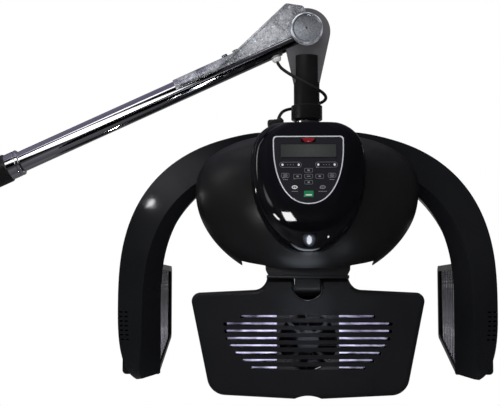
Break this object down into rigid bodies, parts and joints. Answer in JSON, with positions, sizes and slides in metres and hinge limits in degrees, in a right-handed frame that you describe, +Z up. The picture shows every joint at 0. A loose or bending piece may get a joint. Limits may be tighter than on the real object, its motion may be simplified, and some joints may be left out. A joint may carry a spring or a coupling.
{
  "type": "hair color processor",
  "caption": "Wall-arm hair colour processor: a swinging, tilting boom carries a hood with a control panel, a tilting centre heater and two swinging side heaters.",
  "frame": {"origin": "centre of the wall plate's back face, midway between its four bolt holes", "axes": "+X runs out from the wall along the resting boom, +Z is up, and the control panel faces -Y"},
  "size_m": [1.011, 0.3614, 0.5911],
  "materials": {
    "black_metal": "satin black powder coat",
    "chrome_tube": "polished chrome",
    "chrome_cast": "chrome plate over a casting, lightly rippled",
    "steel": "turned steel",
    "black_satin_plastic": "fine satin",
    "charcoal_plastic": "satin charcoal with a fine grain",
    "black_gloss_plastic": "gloss",
    "bearing_plastic": "moulded",
    "white_plastic": "moulded",
    "cord_rubber": "smooth",
    "keypad_film": null,
    "silver_line": "satin silver",
    "display_film": "grey liquid-crystal window, switched off",
    "red_lamp": "translucent red lens",
    "board_green": "solder mask",
    "reflector_sheet": "dimpled bright sheet",
    "quartz": "clear quartz with a coil inside",
    "ceramic": "steatite lamp holder",
    "guard_wire": "plated wire",
    "fan_plastic": "moulded"
  },
  "bodies": {
    "wall_bracket": {"wall_plate": "black_metal", "socket_bushes": "bearing_plastic"},
    "shoulder": {"shoulder_fork": "black_metal", "shoulder_pin": "steel", "shoulder_caps": "steel"},
    "boom": {"boom_hub": "black_metal", "boom_sleeve": "black_metal", "boom_collar": "chrome_tube", "boom_tube": "chrome_tube", "elbow_bracket": "chrome_cast", "bracket_fixings": "steel", "cord_grommet": "white_plastic", "elbow_pin": "steel", "elbow_caps": "steel"},
    "post": {"post_head": "black_metal", "post_tube": "black_metal", "post_collar": "black_metal", "swivel_bush": "bearing_plastic", "cord_upper": "cord_rubber", "cord_lower": "cord_rubber"},
    "head": {"swivel_spindle": "chrome_tube", "head_shell": "black_satin_plastic", "control_cover": "black_gloss_plastic", "keypad_panel": "keypad_film", "panel_trim": "silver_line", "display_window": "display_film", "status_lamp": "red_lamp", "control_board": "board_green", "head_chassis": "black_metal", "arm_pins": "steel", "rear_shell": "black_satin_plastic", "shell_screws": "steel", "neck_bracket": "black_metal", "cord_plug": "bearing_plastic", "cord_socket": "bearing_plastic"},
    "left_arm": {"left_arm_shell": "charcoal_plastic", "left_heater_housing": "charcoal_plastic", "left_heater_rim": "charcoal_plastic", "left_reflector": "reflector_sheet", "left_lamps": "quartz", "left_lamp_holders": "ceramic", "left_guard": "guard_wire"},
    "right_arm": {"right_arm_shell": "charcoal_plastic", "right_heater_housing": "charcoal_plastic", "right_heater_rim": "charcoal_plastic", "right_reflector": "reflector_sheet", "right_lamps": "quartz", "right_lamp_holders": "ceramic", "right_guard": "guard_wire"},
    "centre_heater": {"centre_shell": "charcoal_plastic", "centre_frame": "charcoal_plastic", "centre_hinge_pin": "steel", "centre_reflector": "reflector_sheet", "centre_lamps": "quartz", "centre_lamp_holders": "ceramic", "centre_guard": "guard_wire", "centre_fan_frame": "fan_plastic"},
    "centre_fan": {"centre_fan_rotor": "fan_plastic"}
  },
  "joints": [
    {"name": "shoulder_swivel", "type": "hinge", "parent": "wall_bracket", "child": "shoulder", "pos_m": [0.08, 0, 0], "axis": [0, 0, 1], "range_deg": [-60, 60]},
    {"name": "boom_tilt", "type": "hinge", "parent": "shoulder", "child": "boom", "pos_m": [0.08, 0, 0.095], "axis": [0, 1, 0], "range_deg": [-10, 35]},
    {"name": "elbow_tilt", "type": "hinge", "parent": "boom", "child": "post", "pos_m": [0.71798, 0, 0.38306], "axis": [0, 1, 0], "range_deg": [-35, 8], "deforming": ["cord_upper"]},
    {"name": "head_swivel", "type": "hinge", "parent": "post", "child": "head", "pos_m": [0.71798, 0, 0.24856], "axis": [0, 0, 1], "range_deg": [-90, 90], "deforming": ["cord_lower"]},
    {"name": "left_arm_swing", "type": "hinge", "parent": "head", "child": "left_arm", "pos_m": [0.66598, 0.04, 0.17806], "axis": [0, -1, 0], "range_deg": [-8, 8]},
    {"name": "right_arm_swing", "type": "hinge", "parent": "head", "child": "right_arm", "pos_m": [0.76998, 0.04, 0.17806], "axis": [0, 1, 0], "range_deg": [-8, 8]},
    {"name": "centre_tilt", "type": "hinge", "parent": "head", "child": "centre_heater", "pos_m": [0.71798, 0.008, -0.00294], "axis": [1, 0, 0], "range_deg": [-15, 15]},
    {"name": "centre_fan_spin", "type": "hinge", "parent": "centre_heater", "child": "centre_fan", "pos_m": [0.71798, 0, -0.08294], "axis": [0, 1, 0], "continuous": true}
  ]
}
